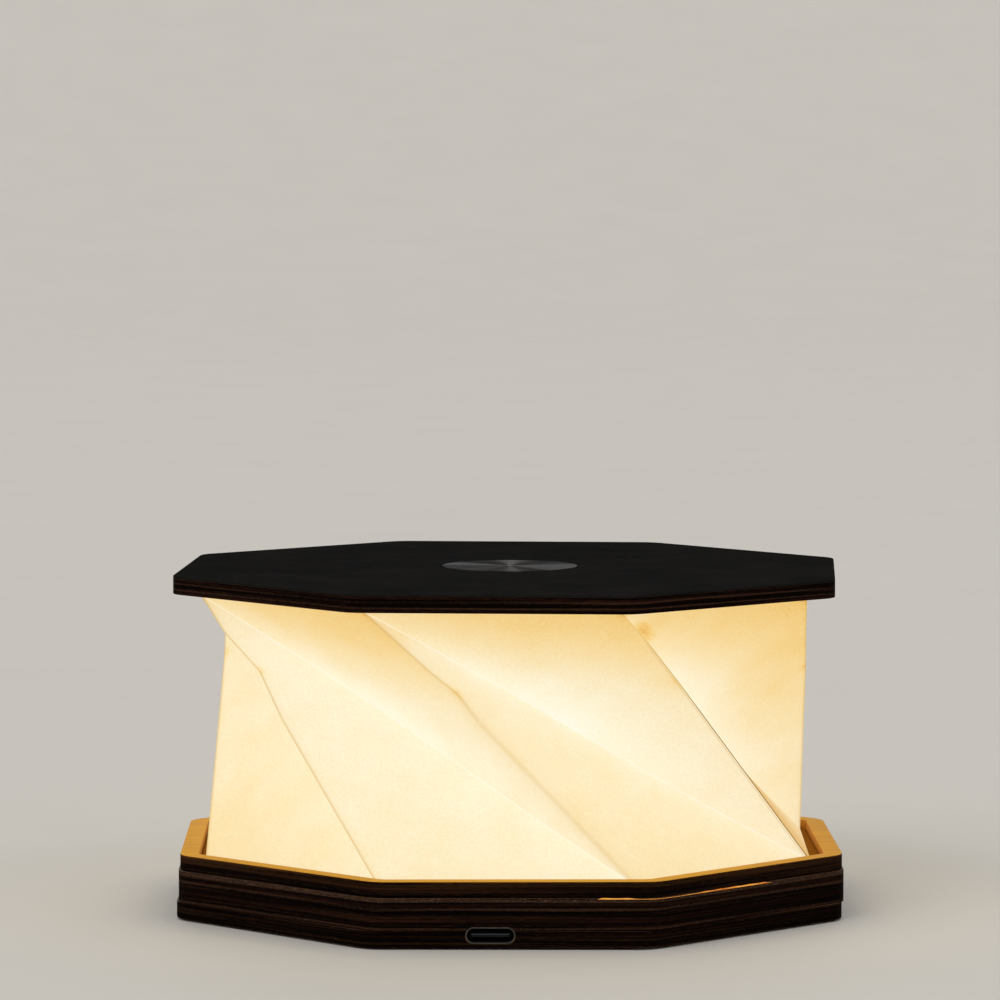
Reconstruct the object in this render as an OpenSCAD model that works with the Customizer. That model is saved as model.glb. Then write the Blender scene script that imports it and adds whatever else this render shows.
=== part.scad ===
// Twist-fold octagonal table lamp. The top plate turns as it sinks onto the base and the paper shade
// folds flat into the shallow tray behind the rim. Millimetres, +Z up, the inlet faces -Y.
// The origin is at the centre of the base, on the surface that the lamp stands on.

/* [Base stack] */
// Width of the base across its flats
base_w = 120.8; // [112:0.1:150]
// Thickness of one plywood sheet
ply_t = 2.9; // [2.8:0.1:4]
// Radius of the upright corners of every wooden layer
corner_r = 6; // [1:0.5:8]
// Turn of the three upper layers on the bottom one, in degrees
layer_turn = 1; // [0:0.1:2]
// Width of the wood left round the two lower frames
frame_w = 10.4; // [9:0.1:12]
// Set-back of the rim from the layers below it
rim_inset = 0.3; // [0:0.05:0.5]
// Width of the rim round the paper tray
rim_w = 3.4; // [2.5:0.1:4]

/* [Tray and light] */
// Thickness of the tray deck under the folded paper
deck_t = 1.3; // [1:0.1:1.8]
// Free edge between the tray deck and the rim
deck_gap = 0.15; // [0.1:0.05:0.4]
// Diameter of the light window in the deck
window_d = 56; // [50:1:62]
// Diameter of the opal diffuser
diffuser_d = 62; // [58:1:66]
// Thickness of the opal diffuser
diffuser_t = 0.8; // [0.5:0.1:1]
// Diameter of the round light board
led_board_d = 75; // [73:1:78]
// Diameter of the well under the light board
led_well_d = 68; // [64:1:68]
// Thickness of both circuit boards
board_t = 1; // [0.8:0.1:1.2]
// Length of one light-emitting diode
led_l = 3.5; // [2.8:0.1:4]
// Width of one light-emitting diode
led_w = 2.8; // [2:0.1:3.2]
// Height of one light-emitting diode
led_h = 0.7; // [0.5:0.05:0.8]
// Radius of the inner circle of diodes
led_inner_r = 10; // [8:0.5:12]
// Radius of the outer circle of diodes
led_outer_r = 21; // [18:0.5:22]

/* [Bottom cover and feet] */
// Thickness of the bottom cover
cover_t = 1; // [0.8:0.1:1.2]
// Depth of the cover's face inside the base
cover_sink = 0.6; // [0.6:0.1:0.8]
// Width of the ledge that the cover is screwed to
ledge_w = 4; // [3.6:0.1:4.5]
// Diameter of a foot pad
foot_d = 5; // [4:0.1:5.4]
// Thickness of a foot pad
foot_t = 0.4; // [0.3:0.1:1]
// Diameter of every screw's shank
screw_d = 1.6; // [1.4:0.1:1.8]
// Diameter of every screw's head
screw_head_d = 2.8; // [2.4:0.1:3]
// Height of every screw's head
screw_head_t = 0.5; // [0.4:0.05:0.6]

/* [Charging inlet] */
// Width of the inlet's mouth
inlet_w = 8.34; // [8.3:0.01:8.5]
// Height of the inlet's mouth
inlet_h = 2.5; // [2.45:0.01:2.6]
// Sheet thickness of the inlet's shell
inlet_wall = 0.2; // [0.15:0.01:0.3]
// Length of the inlet's shell
inlet_l = 7.3; // [6.5:0.1:8]
// Offset of the inlet's axis from the middle of the front, to the right
inlet_x = -3.3; // [-8:0.1:8]
// Height of the inlet's axis over the table
inlet_z = 2.55; // [2.3:0.05:2.6]
// Width of the contact tongue
tongue_w = 6.69; // [6.5:0.01:6.8]
// Thickness of the contact tongue
tongue_t = 0.7; // [0.6:0.05:0.8]

/* [Electronics] */
// Width of the main board
board_w = 38; // [34:1:41]
// Depth of the main board
board_l = 22; // [21:0.5:24]
// Width of the cell
cell_w = 60; // [40:1:62]
// Depth of the cell
cell_l = 46; // [30:1:47]
// Thickness of the cell
cell_t = 3.7; // [3:0.1:3.8]
// Thickness of the tape under the cell
tape_t = 0.3; // [0.2:0.05:0.4]
// Diameter of every lead
lead_d = 0.9; // [0.7:0.1:1]

/* [Magnets] */
// Diameter of a holding magnet
magnet_d = 6; // [4:0.5:7]
// Thickness of a holding magnet
magnet_t = 1.5; // [1:0.1:1.8]
// Inset of the holding magnets from the base's flats
magnet_inset = 9.4; // [8:0.1:12]
// Inset of the field sensor from the base's flats
sensor_inset = 14.4; // [13:0.1:15]
// Direction of the field sensor from the front, in degrees
sensor_turn = 14; // [12:1:16]

/* [Shade] */
// Gap between the rim and the shade's foot
shade_gap = 1.7; // [1.2:0.1:4]
// Turn of the shade's foot on the base, clockwise from above, in degrees
foot_turn = 0.5; // [0:0.1:3]
// Turn of the shade's head on the top plate, clockwise from above, in degrees
head_turn = 0.1; // [0:0.1:3]
// Height of the top plate's underside over the table when open
open_z = 59; // [50:1:64]
// Turn of the top plate on the base when open, clockwise from above, in degrees
open_turn = 3; // [0:0.1:8]
// Further turn of the top plate as the lamp closes, in degrees
close_turn = 21; // [15:1:25]
// Thickness of the shade's paper
paper_t = 0.3; // [0.2:0.05:0.5]
// Thickness of a glue flange
flange_t = 0.2; // [0.15:0.05:0.25]
// Width of a glue flange
flange_w = 5; // [3:0.5:8]
// Inset of the creases' kinks from the shade's corner circle
kink_inset = 5.1; // [4.5:0.1:6.5]
// Drop of the creases' kinks below the shade's top
kink_drop = 14.2; // [10:0.1:16]
// Turn of the creases' kinks from the corner above, in degrees
kink_turn = 14.3; // [12:0.1:16]

/* [Top plate] */
// Reach of the top plate past the base's flats
plate_reach = -0.4; // [-3:0.1:6]
// Thickness of the plate's dark face skin
skin_t = 0.4; // [0.2:0.1:0.8]
// Diameter of the metal disc
disc_d = 25; // [20:0.5:30]
// Thickness of the metal disc
disc_t = 1; // [0.8:0.1:1.2]
// Height of the metal disc over the plate's face
disc_proud = 0.2; // [0.1:0.05:0.3]
// Diameter of the magnet under the metal disc
disc_magnet_d = 15; // [10:0.5:18]
// Thickness of the magnet under the metal disc
disc_magnet_t = 1.2; // [0.8:0.1:1.4]

/* [Hidden] */
$fn = 64;

// Heights of the base stack
bottom_z = foot_t;
lower_z = bottom_z + ply_t;
upper_z = lower_z + ply_t;
rim_z = upper_z + ply_t;
deck_z = rim_z + deck_t;
cover_z = bottom_z + cover_sink;
bay_z = cover_z + cover_t;
led_board_z = rim_z - board_t - screw_head_t;
led_z = led_board_z + board_t;

// Widths across the flats, and distances from the axis
rim_outer_w = base_w - 2 * rim_inset;
tray_w = rim_outer_w - 2 * rim_w;
shade_w = tray_w - 2 * shade_gap;
plate_w = base_w + 2 * plate_reach;
bay_w = base_w - 2 * frame_w;
magnet_r = base_w / 2 - magnet_inset;
sensor_r = base_w / 2 - sensor_inset;

// Heights of the shade and the top plate
shade_z = deck_z + flange_t;
shade_h = open_z - flange_t - shade_z;
shade_turn = open_turn + head_turn;
skin_z = open_z + ply_t;
face_z = skin_z + skin_t;
disc_z = face_z + disc_proud - disc_t;

// Clearances
cover_gap = 0.2;
board_gap = 0.2;
magnet_gap = 0.05;
inlet_gap = 0.1;
screw_gap = 0.1;
cut = 1;

// Inlet and main board
shell_w = inlet_w + 2 * inlet_wall;
shell_h = inlet_h + 2 * inlet_wall;
inlet_sink = 0.2;
inlet_y = inlet_sink - base_w / 2;
inlet_back = inlet_y + inlet_l;
front_wall = 1.6;
tab_w = 12;
board_z = inlet_z + shell_h / 2;
board_frame_gap = 0.6;
board_y = board_frame_gap - bay_w / 2;
board_screw_inset = 3;
board_screw_x = board_w / 2 - board_screw_inset;
board_screw_y = [board_screw_inset, 13];
spacer_wall = 0.3;

// Chips on the main board, each centred on [right of the axis, behind the board's front edge]
chip_t = 0.9;
charge_chip_at = [-7, 9];
charge_chip_w = 4;
driver_chip_at = [10, 9];
driver_chip_w = 3;
inductor_at = [2, 9];
inductor_w = 4;
sensor_l = 2;
sensor_w = 3;

// Cell bay
cell_z = bay_z + tape_t;
cell_gap = 1.2;
cell_y = (bay_w / 2 - cell_gap) * sqrt(2) - (cell_w + cell_l) / 2;
socket_w = 6;
socket_l = 4;
socket_t = 1.6;
socket_x = 8;
socket_y = board_y + board_l - socket_l;
lead_gap = 2;
lead_run = 6;

// Screws
cover_screw_r = (bay_w + ledge_w) / 2 / cos(22.5);
cover_screw_l = 4;
board_screw_l = led_board_z - board_z - board_gap;
led_screw_l = 2.2;
led_screw_r = (led_board_d + led_well_d) / 4;
foot_r = ((base_w / 2 - corner_r + bay_w / 2 + ledge_w) / cos(22.5) + corner_r) / 2;

// Points along a rounded octagon, w across its flats
corner_steps = 6;
function octagon_points(w, r) = [for (i = [0 : 7], j = [0 : corner_steps])
    let (flat = 45 * i, turned = 45 * j / corner_steps, centre = (w / 2 - r) / cos(22.5))
    centre * [cos(flat + 22.5), sin(flat + 22.5)] + r * [cos(flat + turned), sin(flat + turned)]];

module octagon(w, t, r = corner_r) {
    linear_extrude(t) polygon(octagon_points(w, r));
}

module octagon_frame(w, inside, t, r = corner_r) {
    difference() {
        octagon(w, t, r);
        translate([0, 0, -cut]) octagon(inside, t + 2 * cut, r / 2);
    }
}

// Four copies about the axis, the first one in the direction start
module four_round(radius, start) {
    for (i = [0 : 3]) rotate(start + 90 * i) translate([radius, 0, 0]) children();
}

// Screw standing head down, its seat at z = 0, or head up where up is set
module screw(length, up = false) {
    mirror([0, 0, up ? 1 : 0]) {
        cylinder(d = screw_d, h = length, $fn = 24);
        translate([0, 0, -screw_head_t]) difference() {
            cylinder(d = screw_head_d, h = screw_head_t, $fn = 32);
            translate([0, 0, -cut]) cylinder(d = screw_d / 2, h = cut + screw_head_t / 2, $fn = 6);
        }
    }
}

module screw_hole(length) {
    cylinder(d = screw_d, h = length, $fn = 24);
}

// Racetrack bar along Y, centred on the inlet's axis
module racetrack(w, h, l) {
    rotate([-90, 0, 0]) linear_extrude(l) union() {
        square([w - h, h], center = true);
        for (side = [-1, 1]) translate([side * (w - h) / 2, 0]) circle(d = h, $fn = 48);
    }
}

// Room for the inlet and for the main board's tab
module inlet_cut() {
    translate([inlet_x, inlet_y - cut, inlet_z])
        racetrack(shell_w + 2 * inlet_gap, shell_h + 2 * inlet_gap, front_wall + 2 * cut);
    translate([inlet_x - tab_w / 2 - inlet_gap, front_wall - base_w / 2, inlet_z - shell_h / 2 - inlet_gap])
        cube([tab_w + 2 * inlet_gap, frame_w, shell_h + board_t + 2 * inlet_gap]);
}

module board_screw_places() {
    for (x = [-board_screw_x, board_screw_x], y = board_screw_y)
        translate([x, board_y + y, 0]) children();
}

// Round lead through a list of points
module lead(points) {
    for (i = [1 : len(points) - 1]) {
        run = points[i] - points[i - 1];
        translate(points[i - 1])
            rotate([0, acos(run.z / norm(run)), atan2(run.y, run.x)])
                cylinder(d = lead_d, h = norm(run), $fn = 32);
        if (i < len(points) - 1) translate(points[i]) sphere(d = lead_d, $fn = 32);
    }
}

// Eight points of the shade, the first at the corner between the flats of +X and +Y
function ring(r, z, turn) = [for (i = [0 : 7])
    [r * cos(22.5 + 45 * i + turn), r * sin(22.5 + 45 * i + turn), z]];
function shade_points(inset) = let (corner = (shade_w / 2 - inset) / cos(22.5)) concat(
    ring(corner, shade_z + shade_h, -shade_turn),
    ring(corner - kink_inset, shade_z + shade_h - kink_drop, kink_turn - shade_turn),
    ring(corner, shade_z, -foot_turn));
// Four facets to each side: two lie above the long fold, and two below it
function shade_side(i, from) = let (
    next = (i + 1) % 8,
    top = from + i, top_next = from + next,
    kink = from + 8 + i, kink_next = from + 8 + next,
    foot_next = from + 16 + next, foot_far = from + 16 + (i + 2) % 8)
    [[top, top_next, kink_next], [top, kink_next, foot_far],
     [top, foot_far, kink], [kink, foot_far, foot_next]];
function turned_over(faces) = [for (f = faces) [f[2], f[1], f[0]]];
function edge_faces(i) = let (next = (i + 1) % 8, top = 0, foot = 16, inner = 24) [
    [top + i, inner + top + i, inner + top + next, top + next],
    [foot + i, foot + next, inner + foot + next, inner + foot + i]];

module feet() {
    color("#1b1b1c") four_round(foot_r, 22.5) cylinder(d = foot_d, h = foot_t, $fn = 32);
}

module bottom_cover() {
    width = bay_w + 2 * ledge_w - 2 * cover_gap;
    notch_w = shell_w + 2 * cover_gap;
    color("#1f1f21") translate([0, 0, cover_z]) difference() {
        octagon(width, cover_t);
        four_round(cover_screw_r, 67.5)
            translate([0, 0, -cut]) cylinder(d = screw_d + 2 * screw_gap, h = cover_t + 2 * cut, $fn = 24);
        translate([inlet_x - notch_w / 2, -base_w / 2, -cut])
            cube([notch_w, inlet_back + base_w / 2 + cover_gap, cover_t + 2 * cut]);
    }
}

module cover_screws() {
    color("#8f9296") translate([0, 0, cover_z]) four_round(cover_screw_r, 67.5) screw(cover_screw_l);
}

module bottom_frame() {
    color("#3a2417") difference() {
        translate([0, 0, bottom_z]) octagon_frame(base_w, bay_w, ply_t);
        translate([0, 0, bottom_z - cut]) octagon(bay_w + 2 * ledge_w, cover_sink + cover_t + cut);
        inlet_cut();
        translate([0, 0, cover_z]) four_round(cover_screw_r, 67.5) screw_hole(cover_screw_l);
    }
}

module lower_frame() {
    color("#402819") difference() {
        translate([0, 0, lower_z]) rotate(layer_turn)
            octagon_frame(base_w, bay_w, ply_t);
        inlet_cut();
        translate([0, 0, cover_z]) four_round(cover_screw_r, 67.5) screw_hole(cover_screw_l);
    }
}

module upper_frame() {
    color("#3a2417") difference() {
        translate([0, 0, upper_z]) rotate(layer_turn) octagon(base_w, ply_t);
        translate([0, 0, upper_z - cut]) cylinder(d = led_well_d, h = ply_t + 2 * cut, $fn = 96);
        translate([0, 0, led_board_z]) cylinder(d = led_board_d + 2 * board_gap, h = ply_t, $fn = 96);
        translate([0, 0, led_z - led_screw_l]) four_round(led_screw_r, 0) screw_hole(led_screw_l);
        translate([0, 0, board_z]) board_screw_places() screw_hole(board_screw_l);
        translate([0, 0, rim_z - magnet_t]) four_round(magnet_r, 45)
            cylinder(d = magnet_d + 2 * magnet_gap, h = magnet_t + cut, $fn = 48);
    }
}

module rim_frame() {
    color("#8a623a") translate([0, 0, rim_z]) rotate(layer_turn)
        octagon_frame(rim_outer_w, tray_w, ply_t);
}

module tray_deck() {
    color("#cbb48d") difference() {
        translate([0, 0, rim_z]) rotate(layer_turn)
            octagon(tray_w - 2 * deck_gap, deck_t, corner_r / 2);
        translate([0, 0, rim_z - cut]) cylinder(d = window_d, h = deck_t + 2 * cut, $fn = 96);
        translate([0, 0, deck_z - diffuser_t])
            cylinder(d = diffuser_d + 2 * board_gap, h = diffuser_t + cut, $fn = 96);
    }
}

module diffuser() {
    color("#f4f1e8") translate([0, 0, deck_z - diffuser_t])
        cylinder(d = diffuser_d, h = diffuser_t, $fn = 96);
}

module led_board() {
    color("#e9e9e4") translate([0, 0, led_board_z]) difference() {
        cylinder(d = led_board_d, h = board_t, $fn = 96);
        translate([0, 0, -cut]) four_round(led_screw_r, 0)
            cylinder(d = screw_d + 2 * screw_gap, h = board_t + 2 * cut, $fn = 24);
    }
}

module led() {
    translate([-led_l / 2, -led_w / 2, 0]) cube([led_l, led_w, led_h]);
}

module leds() {
    color("#f3dc7c") translate([0, 0, led_z]) {
        led();
        for (i = [0 : 5]) rotate(60 * i) translate([led_inner_r, 0, 0]) led();
        for (i = [0 : 11]) rotate(30 * i) translate([led_outer_r, 0, 0]) led();
    }
}

module led_board_screws() {
    color("#a8abae") translate([0, 0, led_z]) four_round(led_screw_r, 0) screw(led_screw_l, up = true);
}

module cell() {
    color("#b9bcc1") translate([-cell_w / 2, cell_y - cell_l / 2, cell_z]) cube([cell_w, cell_l, cell_t]);
}

module cell_tape() {
    margin = 5;
    color("#e8e8e8") translate([margin - cell_w / 2, cell_y + margin - cell_l / 2, bay_z])
        cube([cell_w - 2 * margin, cell_l - 2 * margin, tape_t]);
}

module main_board() {
    color("#1d5a37") translate([0, 0, board_z]) difference() {
        union() {
            translate([-board_w / 2, board_y, 0]) cube([board_w, board_l, board_t]);
            translate([inlet_x - tab_w / 2, front_wall + 2 * inlet_gap - base_w / 2, 0])
                cube([tab_w, frame_w, board_t]);
        }
        translate([0, 0, -cut]) board_screw_places()
            cylinder(d = screw_d + 2 * screw_gap, h = board_t + 2 * cut, $fn = 24);
    }
}

module board_spacers() {
    color("#d8d8d2") translate([0, 0, board_z + board_t]) board_screw_places() difference() {
        cylinder(d = screw_head_d + 2 * spacer_wall, h = upper_z - board_z - board_t, $fn = 32);
        translate([0, 0, -cut]) cylinder(d = screw_d + 2 * screw_gap, h = ply_t + 2 * cut, $fn = 24);
    }
}

module board_screws() {
    color("#8f9296") translate([0, 0, board_z]) board_screw_places() screw(board_screw_l);
}

module inlet_shell() {
    color("#c9cbd0") translate([inlet_x, inlet_y, inlet_z]) difference() {
        racetrack(shell_w, shell_h, inlet_l);
        translate([0, -cut, 0]) racetrack(inlet_w, inlet_h, inlet_l + 2 * cut);
    }
}

module inlet_tongue() {
    block_l = 1.5;
    sunk = 0.7;
    color("#101012") translate([inlet_x, inlet_y, inlet_z]) {
        translate([-tongue_w / 2, sunk, -tongue_t / 2]) cube([tongue_w, inlet_l - sunk - block_l, tongue_t]);
        translate([0, inlet_l - block_l, 0]) racetrack(inlet_w, inlet_h, block_l);
    }
}

// Flat square chip under the main board
module chip(at, w, t) {
    translate([at.x - w / 2, board_y + at.y - w / 2, board_z - t]) cube([w, w, t]);
}

module charge_chip() {
    color("#17181a") chip(charge_chip_at, charge_chip_w, chip_t);
}

module driver_chip() {
    color("#17181a") chip(driver_chip_at, driver_chip_w, chip_t);
}

module inductor() {
    color("#3b3c40") chip(inductor_at, inductor_w, socket_t);
}

module cell_socket() {
    color("#efeee6") translate([socket_x - socket_w / 2, socket_y, board_z - socket_t])
        cube([socket_w, socket_l, socket_t]);
}

module led_socket() {
    color("#efeee6") translate([-socket_x - socket_w / 2, socket_y, board_z - socket_t])
        cube([socket_w, socket_l, socket_t]);
}

module field_sensor() {
    color("#17181a") rotate(sensor_turn - 90) translate([sensor_r, 0, board_z - chip_t])
        translate([-sensor_l / 2, -sensor_w / 2, 0]) cube([sensor_l, sensor_w, chip_t]);
}

module cell_leads() {
    plug_z = board_z - socket_t / 2;
    color("#b3201c") for (side = [-1, 1]) lead([
        [socket_x + side * lead_gap / 2, socket_y + socket_l, plug_z],
        [socket_x + side * lead_gap / 2, cell_y - cell_l / 2, plug_z]]);
}

module led_leads() {
    plug_z = board_z - socket_t / 2;
    bend_y = socket_y + socket_l + lead_run;
    color("#e6e6e0") for (side = [-1, 1]) lead([
        [-socket_x + side * lead_gap / 2, socket_y + socket_l, plug_z],
        [-socket_x + side * lead_gap / 2, bend_y, plug_z],
        [-socket_x + side * lead_gap / 2, bend_y, led_board_z]]);
}

module base_magnets() {
    color("#aeb1b6") translate([0, 0, rim_z - magnet_t]) four_round(magnet_r, 45)
        cylinder(d = magnet_d, h = magnet_t, $fn = 48);
}

module glue_flange() {
    octagon_frame(shade_w, shade_w - 2 * flange_w, flange_t, paper_t);
}

module lower_flange() {
    color("#efe6cf") translate([0, 0, deck_z]) rotate(-foot_turn) glue_flange();
}

module shade() {
    color("#fdf0d0") polyhedron(
        points = concat(shade_points(0), shade_points(paper_t)),
        faces = [for (i = [0 : 7])
            each concat(shade_side(i, 0), turned_over(shade_side(i, 24)), edge_faces(i))]);
}

module upper_flange() {
    color("#efe6cf") translate([0, 0, open_z - flange_t]) rotate(-shade_turn) glue_flange();
}

module top_plate() {
    color("#4a3020") difference() {
        translate([0, 0, open_z]) rotate(-open_turn) octagon(plate_w, ply_t);
        translate([0, 0, disc_z]) cylinder(d = disc_d, h = ply_t, $fn = 96);
        translate([0, 0, disc_z - disc_magnet_t])
            cylinder(d = disc_magnet_d + 2 * magnet_gap, h = ply_t, $fn = 64);
        translate([0, 0, open_z - cut]) {
            four_round(magnet_r, 45 + close_turn)
                cylinder(d = magnet_d + 2 * magnet_gap, h = magnet_t + cut, $fn = 48);
            rotate(sensor_turn + close_turn - 90) translate([sensor_r, 0, 0])
                cylinder(d = magnet_d + 2 * magnet_gap, h = magnet_t + cut, $fn = 48);
        }
    }
}

module plate_skin() {
    color("#2e2c2a") translate([0, 0, skin_z]) difference() {
        rotate(-open_turn) octagon(plate_w, skin_t);
        translate([0, 0, -cut]) cylinder(d = disc_d, h = skin_t + 2 * cut, $fn = 96);
    }
}

module metal_disc() {
    color("#9fa3a8") translate([0, 0, disc_z]) cylinder(d = disc_d, h = disc_t, $fn = 96);
}

module disc_magnet() {
    color("#aeb1b6") translate([0, 0, disc_z - disc_magnet_t])
        cylinder(d = disc_magnet_d, h = disc_magnet_t, $fn = 64);
}

module plate_magnets() {
    color("#aeb1b6") translate([0, 0, open_z]) four_round(magnet_r, 45 + close_turn)
        cylinder(d = magnet_d, h = magnet_t, $fn = 48);
}

module trigger_magnet() {
    color("#aeb1b6") translate([0, 0, open_z]) rotate(sensor_turn + close_turn - 90)
        translate([sensor_r, 0, 0]) cylinder(d = magnet_d, h = magnet_t, $fn = 48);
}

feet();
bottom_cover();
cover_screws();
bottom_frame();
lower_frame();
upper_frame();
rim_frame();
tray_deck();
diffuser();
led_board();
leds();
led_board_screws();
cell();
cell_tape();
main_board();
board_spacers();
board_screws();
inlet_shell();
inlet_tongue();
charge_chip();
driver_chip();
inductor();
cell_socket();
led_socket();
field_sensor();
cell_leads();
led_leads();
base_magnets();
lower_flange();
shade();
upper_flange();
top_plate();
plate_skin();
metal_disc();
disc_magnet();
plate_magnets();
trigger_magnet();
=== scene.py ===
import math

import bmesh
import bpy
import numpy as np
from mathutils import Matrix, Vector


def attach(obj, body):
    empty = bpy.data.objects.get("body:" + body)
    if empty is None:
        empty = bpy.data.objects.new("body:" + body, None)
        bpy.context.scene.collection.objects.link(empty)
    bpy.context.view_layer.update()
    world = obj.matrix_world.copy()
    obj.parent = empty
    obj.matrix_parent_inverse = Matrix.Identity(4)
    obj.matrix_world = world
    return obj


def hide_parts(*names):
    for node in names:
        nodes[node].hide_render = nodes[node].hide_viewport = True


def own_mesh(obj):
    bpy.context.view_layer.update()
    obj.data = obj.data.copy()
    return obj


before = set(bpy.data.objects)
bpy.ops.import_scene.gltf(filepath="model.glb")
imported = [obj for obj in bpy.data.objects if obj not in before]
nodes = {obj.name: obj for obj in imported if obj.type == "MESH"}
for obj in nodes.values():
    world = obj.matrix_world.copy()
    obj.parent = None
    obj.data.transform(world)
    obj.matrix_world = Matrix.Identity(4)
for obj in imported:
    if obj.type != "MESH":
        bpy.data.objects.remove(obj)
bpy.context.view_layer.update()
mm = 0.001


# Small helpers


def srgb(red, green, blue):
    # linear colour for one written on a 0-255 scale
    values = [channel / 255 for channel in (red, green, blue)]
    return [v / 12.92 if v <= 0.04045 else ((v + 0.055) / 1.055) ** 2.4 for v in values] + [1.0]


def addNode(tree, kind, inputs=None, **settings):
    node = tree.nodes.new(kind)
    for key, value in settings.items():
        setattr(node, key, value)
    for key, value in (inputs or {}).items():
        if isinstance(value, bpy.types.NodeSocket):
            tree.links.new(value, node.inputs[key])
        else:
            node.inputs[key].default_value = value
    return node


def calc(tree, operation, first, second=0.0):
    return addNode(tree, "ShaderNodeMath", {0: first, 1: second}, operation=operation).outputs[0]


def remap(tree, value, low, high, outLow=0.0, outHigh=1.0, smooth=False):
    kind = "SMOOTHSTEP" if smooth else "LINEAR"
    fields = {"Value": value, "From Min": low, "From Max": high, "To Min": outLow, "To Max": outHigh}
    return addNode(tree, "ShaderNodeMapRange", fields, interpolation_type=kind).outputs[0]


def mixColour(tree, factor, first, second):
    return addNode(tree, "ShaderNodeMix", {0: factor, 6: first, 7: second}, data_type="RGBA").outputs[2]


def place(tree, scale=(1, 1, 1)):
    # object coordinates in millimetres, scaled
    spot = addNode(tree, "ShaderNodeTexCoord").outputs["Object"]
    size = [1000 * part for part in scale]
    return addNode(tree, "ShaderNodeMapping", {"Vector": spot, "Scale": size}).outputs[0]


def placeParts(tree):
    # X, Y and Z of the object coordinates, in metres
    spot = addNode(tree, "ShaderNodeTexCoord").outputs["Object"]
    return addNode(tree, "ShaderNodeSeparateXYZ", {0: spot}).outputs


def noiseOf(tree, vector, scale, detail=3.0, rough=0.5, warp=0.0):
    fields = {"Vector": vector, "Scale": scale, "Detail": detail, "Roughness": rough, "Distortion": warp}
    return addNode(tree, "ShaderNodeTexNoise", fields).outputs["Fac"]


def colourRamp(tree, value, stops):
    node = addNode(tree, "ShaderNodeValToRGB", {0: value})
    ramp = node.color_ramp
    while len(ramp.elements) < len(stops):
        ramp.elements.new(1.0)
    for element, (position, colour) in zip(ramp.elements, stops):
        element.position = position
        element.color = colour
    return node.outputs[0]


def bumpOf(tree, height, strength, distance):
    fields = {"Height": height, "Strength": strength, "Distance": distance}
    return addNode(tree, "ShaderNodeBump", fields).outputs[0]


def newGroup(name, inputs, outputs, build):
    tree = bpy.data.node_groups.new(name, "ShaderNodeTree")
    for label, kind, value in inputs:
        tree.interface.new_socket(label, in_out="INPUT", socket_type=kind).default_value = value
    for label, kind in outputs:
        tree.interface.new_socket(label, in_out="OUTPUT", socket_type=kind)
    build(tree, addNode(tree, "NodeGroupInput").outputs, addNode(tree, "NodeGroupOutput").inputs)
    return tree


def useGroup(tree, group, inputs=None):
    return addNode(tree, "ShaderNodeGroup", inputs, node_tree=group).outputs


def newMaterial(name, links, **sockets):
    # links(tree) gives an output for each socket it names, and sockets are plain values
    material = bpy.data.materials.new(name)
    material.use_nodes = True
    tree = material.node_tree
    shader = tree.nodes["Principled BSDF"]
    for key, value in sockets.items():
        shader.inputs[key.replace("_", " ")].default_value = value
    for key, output in links(tree).items():
        tree.links.new(output, shader.inputs[key])
    return material


def newMesh(name, points, faces):
    mesh = bpy.data.meshes.new(name)
    mesh.from_pydata([tuple(point) for point in points], [], faces)
    mesh.update()
    return mesh


def newObject(name, data):
    item = bpy.data.objects.new(name, data)
    bpy.context.scene.collection.objects.link(item)
    return item


def showPiece(name, mesh, materials, body):
    piece = newObject(name, mesh)
    for material in materials:
        mesh.materials.append(material)
    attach(piece, body)
    return piece


# Camera: a long lens a metre away, a few degrees above level

cameraSet = {
    "lens": 196.2,
    "sensor": 36.0,
    "clip": (0.05, 50),
    "distance": 1.008,
    "down": 4.04,
    "yaw": 0.11,
    "roll": 0.06,
    "aim": (-0.0018, 0, 0.07466),
}


def makeCamera(s):
    data = bpy.data.cameras.new("camera")
    data.lens = s["lens"]
    data.sensor_width = s["sensor"]
    data.sensor_fit = "HORIZONTAL"
    data.clip_start, data.clip_end = s["clip"]
    camera = newObject("camera", data)
    down = math.radians(s["down"])
    aim = Vector(s["aim"])
    turn = Matrix.Rotation(math.radians(s["yaw"]), 3, "Z")
    roll = Matrix.Rotation(math.radians(s["roll"]), 3, "Z")
    spot = turn @ (aim - s["distance"] * Vector((0, math.cos(down), -math.sin(down))))
    look = (turn @ aim - spot).to_track_quat("-Z", "Y").to_matrix()
    camera.matrix_world = Matrix.Translation(spot) @ (look @ roll).to_4x4()
    bpy.context.scene.camera = camera


makeCamera(cameraSet)
print("camera made")


# Stage: a pale floor and soft light, sizes in metres

stageSet = {
    "level": (0.25, 0.8, 1.6, 2.6),  # rings of the flat part
    "wall": 5.2,
    "rise": 1.7,
    "rings": 24,
    "sides": 128,
    "floorColour": srgb(214, 211, 206),
    "patchTone": 0.94,
    "sky": srgb(214, 212, 208),
    "skyLight": 0.86,
}


def floorLinks(s):
    def links(tree):
        spot = place(tree)
        patch = noiseOf(tree, spot, 0.02, 4)
        pale = [s["patchTone"] * v for v in s["floorColour"][:3]] + [1]
        return {
            "Base Color": mixColour(tree, patch, pale, s["floorColour"]),
            "Normal": bumpOf(tree, noiseOf(tree, spot, 1.6, 3), 0.05, 0.0005),
        }

    return links


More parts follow.
